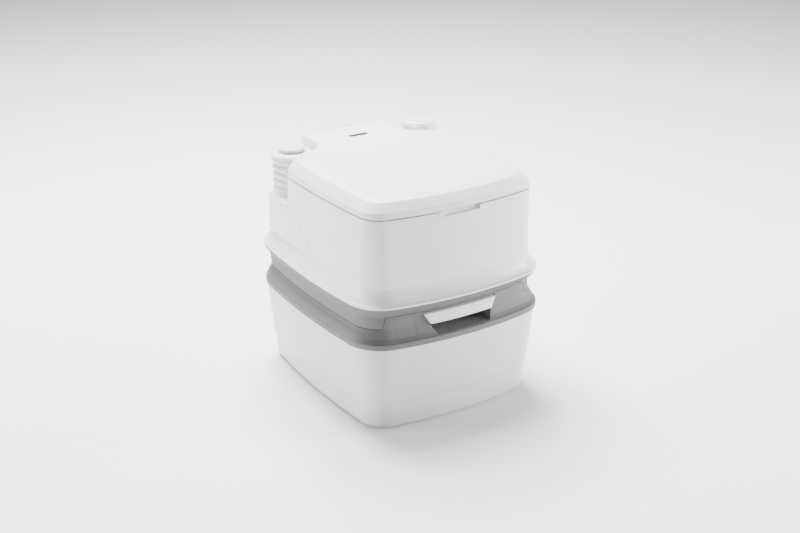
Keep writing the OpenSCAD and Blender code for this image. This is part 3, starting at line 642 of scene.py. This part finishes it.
t = np.linspace(0, 1, 81)
pleat = np.abs(np.sin(np.pi * 5 * t)) ** 0.75
outer = np.column_stack([29.8 + 5.0 * pleat, BELLOWS_FOOT + (BELLOWS_TOP - BELLOWS_FOOT) * t])
inner = outer[::-1] - [2.0, 0.0]
bellows = rounded(turned("pump_bellows_soft", *PUMP, np.vstack([outer, inner])), 0)
soft_white = moulded("bellows plastic", (0.76, 0.76, 0.765), 0.46, grain=900, depth=0.02)
dressed(bellows, soft_white, None, "bellows_white", "pump_bellows")
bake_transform(bellows)
coil = rounded(spring("pump_coil", *PUMP, BELLOWS_FOOT, BELLOWS_TOP, 15, 1.1, 8), 0)
dressed(coil, steel, None, "steel", "pump_spring")
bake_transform(coil)

b = BELLOWS_TOP
flange = turned("pump_flange_ring", *PUMP, soft_profile(
    [[0, b], [36, b], [38.2, b + 1.6], [38.2, b + 3.4], [35.5, b + 6.4], [30, b + 8], [19, b + 8],
     [19, b + 4], [0, b + 4]], 1.2))
dressed(rounded(flange, 0), white_plastic, "pump", "white_moulding", "pump_flange")
button = turned("pump_button_cap", *PUMP, soft_profile(
    [[0, b + 4], [18.9, b + 4], [18.9, b + 11], [23.2, b + 12], [24.6, b + 14], [23, b + 16.2],
     [14, b + 17.4], [6, b + 17.9], [0, b + 18]], 1.0))
dressed(rounded(button, 0), white_plastic, "pump", "white_moulding", "pump_button")

# --- Fill cap -------------------------------------------------------------
# A white screw cap with eight lobes to grip closes the fill neck. It is
# moulded with a low domed top and a deep skirt over the neck's thread.
cap_path = soft_profile([[0.01, 402.6], [28.5, 402.6], [28.5, 380.1], [30.3, 380.1], [30.4, 383], [29.9, 410],
                         [27.2, 415.4], [22, 417.2], [12, 417.9], [0.01, 418]], 1.0, 4)
a = np.arange(192) * 2 * np.pi / 192
reach_out = np.clip((cap_path[:, 0] - 28.8) / 0.8, 0, 1) * np.clip((416 - cap_path[:, 1]) / 5, 0, 1)
lobe = (0.5 + 0.5 * np.cos(8 * a)) ** 1.3
radius = cap_path[:, :1] + 2.7 * reach_out[:, None] * lobe
cap = loft("fill_cap_fluted", np.stack([CAP[0] + radius * np.cos(a), CAP[1] + radius * np.sin(a),
                                        np.repeat(cap_path[:, 1:], 192, axis=1)], -1))
dressed(rounded(cap, 0), white_plastic, "fill_cap", "white_moulding", "fill_cap")

# --- Seat -----------------------------------------------------------------
# The seat is one thick glossy white moulding with a rounded top. Its rear is
# cut away for the pump, the fill cap and the hinge, and two lugs reach back
# to the hinge pins. Four rubber pads under it rest on the deck.
SEAT = DECK + 3.4


def lug(name, x0, x1, *parts):
    """A hinge lug: a round boss on the axis joined to its arm, bored for the pin."""
    return cut(joined(upright(name, x0, x1, *HINGE, 7.5), *parts), upright("bore", x0 - 1, x1 + 1, *HINGE, 4.06))


seat = body_loft("seat_ring", eased([[SEAT, 165.5, 196, 152, 34, 30], [SEAT + 9, 165, 195.5, 152, 34, 30],
                                     [SEAT + 15, 161, 191, 149, 32, 28], [SEAT + 17.6, 153, 183, 143, 28, 24]], 4, 6))
cut(seat, bay(350, 8), bay(350, 8, -1), mouth("hole", -6, 360, 430), block("hinge gap", -94, 94, 141, 200, 350, 420))
for x in (65, -72):
    joined(seat, lug("lug", x, x + 7, block("arm", x, x + 7, 138, 172, 388.5, 395)))


def seat_edges(ends):
    """A wide rounding round the hole's upper edge, a narrow one on the other cuts."""
    hole = (np.hypot(ends[..., 0] / 100, (ends[..., 1] + 42) / 124).max(1) < 1.02) & (ends[..., 2].min(1) > SEAT + 15)
    lugs = ends[..., 1].min(1) > 137
    return np.where(hole, 1.0, np.where(lugs, 0.12, 0.3))


rounded(seat, 5.0, seat_edges, segments=4)
dressed(seat, moulded("seat plastic", (0.81, 0.81, 0.81), 0.22, grain=500, depth=0.006, coat=0.25),
        "seat", "seat_white", "seat")

# --- Lid ------------------------------------------------------------------
# The lid is a hollow white cover with a bevelled edge and a crowned top that
# rises to the rear. It leaves a bay round the pump and one round the fill
# cap, and its rear extension covers the hinge.
LID = [[DECK + 2.5, 173.3, 203.7, 200, 38, 50], [387.5, 172.6, 203, 200, 38, 50, 2],
       [402, 159.5, 189.5, 193.5, 38, 48, 7], [404.5, 148, 178, 190, 34, 46, 9.0]]


def lid_skin(name, inset, drop):
    """The lid's closed outer form; the top goes on inwards over the bevel with a slight crown."""
    rings = [ring(s, inset) for s in eased(LID, 1.5, 5)]
    top, middle = rings[-1], np.array([0.0, 5.0])
    for s in (0.93, 0.8, 0.6, 0.4, 0.2):
        flat = middle + (top[:, :2] - middle) * s
        slope = 404.5 + 9.0 * (flat[:, 1] + 180) / 370
        rings.append(np.column_stack([flat, slope + 1.0 * (1 - s ** 2)]))
    rings = np.array(rings)
    rings[..., 2] -= np.where(rings[..., 2] > DECK + 3.2, drop, 1.0 if drop else 0.0)
    solid = loft(name, rings)
    return cut(solid, bay(350, inset), bay(350, inset, -1))


def lid_roof(y):
    """Height of the top's flat run at y."""
    return 404.5 + 9.0 * (y + 180) / 370


lid = lid_skin("lid_cover", 0, 0)
cut(lid, kept(lid_skin("inside", 3, 3), block("front", -220, 220, -240, 187, 350, 430)),
    block("tail", -220, 220, 190, 260, 350, 430), block("hinge room", -95, 95, 146, 260, 350, 387.5),
    *[block("slot", s - 5, s + 5, 184, 200, 350, 406.5) for s in (-60, 60)],
    prism("finger notch", [[370, -36], [370, 36], [DECK + 3.4, 37], [DECK + 3.4, -37]], -240, -190, axis=1))
for x in (74, -80):
    joined(lid, lug("lug", x, x + 6, block("arm", x, x + 6, 165, 179, 396, lid_roof(172) - 2)))


def lid_edges(ends):
    """Full rounding on the bays' and the tail's upper edges, little inside, none on the lower rim."""
    low, high = ends[..., 2].min(1), ends[..., 2].max(1)
    middle = ends.mean(1)
    top = low > lid_roof(middle[:, 1]) - 16
    inside = low < lid_roof(middle[:, 1]) - 2.4
    top &= ~(inside & (np.abs(middle[:, 0]) < 82) & (middle[:, 1] > 150))
    return np.where(top & (high > 395), 1.0, np.where(low > 386, 0.22, 0.0))


rounded(lid, 2.0, lid_edges)
dressed(lid, moulded("lid plastic", (0.82, 0.82, 0.82), 0.36, grain=650, depth=0.02, coat=0.08),
        "lid", "lid_white", "lid")

# A small dark plaque is pressed into the top of the lid near its rear. It is
# a plain rounded bar with no marking.
a = np.arange(64) * 2 * np.pi / 64
bar = np.column_stack([np.sign(np.cos(a)) * np.abs(np.cos(a)) ** 0.35 * 19,
                       np.sign(np.sin(a)) * np.abs(np.sin(a)) ** 0.6 * 4.6])
levels = []
for shrink, lift in ((0, -0.4), (0, 0.9), (0.35, 1.35), (1.0, 1.5), (3.0, 1.6)):
    plan = bar * [1 - shrink / 19, 1 - shrink / 4.8]
    levels.append(np.column_stack([plan[:, 0], plan[:, 1] + 130, lid_roof(plan[:, 1] + 130) + lift]))
badge = rounded(loft("lid_plaque", levels), 0)
dressed(badge, moulded("badge plastic", (0.02, 0.02, 0.021), 0.3, grain=900, depth=0.01), "lid", "badge_dark",
        "lid_badge")

# --- Studio ---------------------------------------------------------------
# A plain white floor under large soft lights: one over the object and one
# each side, so that the corner nearest the camera is the darkest.
floor = mesh_of("floor", [[-9000, -9000, 0], [9000, -9000, 0], [9000, 9000, 0], [-9000, 9000, 0]], [[0, 1, 2, 3]])
paper = bpy.data.materials.new("white paper")
paper.use_nodes = True
paper_shader = paper.node_tree.nodes["Principled BSDF"]
paper_shader.inputs["Base Color"].default_value = (0.86, 0.86, 0.86, 1)
paper_shader.inputs["Roughness"].default_value = 0.9
floor.data.materials.append(paper)


def softbox(name, place, aim, size, power):
    """A square area light at a place in metres, pointed at another."""
    lamp = bpy.data.lights.new(name, "AREA")
    lamp.size, lamp.energy = size, power
    held = bpy.data.objects.new(name, lamp)
    held.location = place
    turn = np.array(aim, float) - np.array(place, float)
    held.rotation_euler = (np.arctan2(np.hypot(turn[0], turn[1]), -turn[2]), 0,
                           np.arctan2(turn[1], turn[0]) - np.pi / 2)
    bpy.context.scene.collection.objects.link(held)


centre = (0.0, 0.0, 0.25)
softbox("top light", (0.1, 1.0, 2.6), centre, 1.6, 400)
softbox("left light", (-2.6, 1.3, 0.7), centre, 1.0, 85)
softbox("right light", (2.6, -1.4, 0.7), centre, 1.0, 165)
world = bpy.data.worlds.new("studio")
bpy.context.scene.world = world
world.use_nodes = True
world.node_tree.nodes["Background"].inputs["Color"].default_value = (1, 1, 1, 1)
world.node_tree.nodes["Background"].inputs["Strength"].default_value = 0.3

lens = bpy.data.cameras.new("camera")
lens.lens, lens.sensor_width = 58.07, 36.0
camera = bpy.data.objects.new("camera", lens)
camera.location = (-1.12517, -1.81696, 1.10748)
camera.rotation_euler = (np.radians(90 - 23.01), 0, np.radians(-31.95))
bpy.context.scene.collection.objects.link(camera)
bpy.context.scene.camera = camera
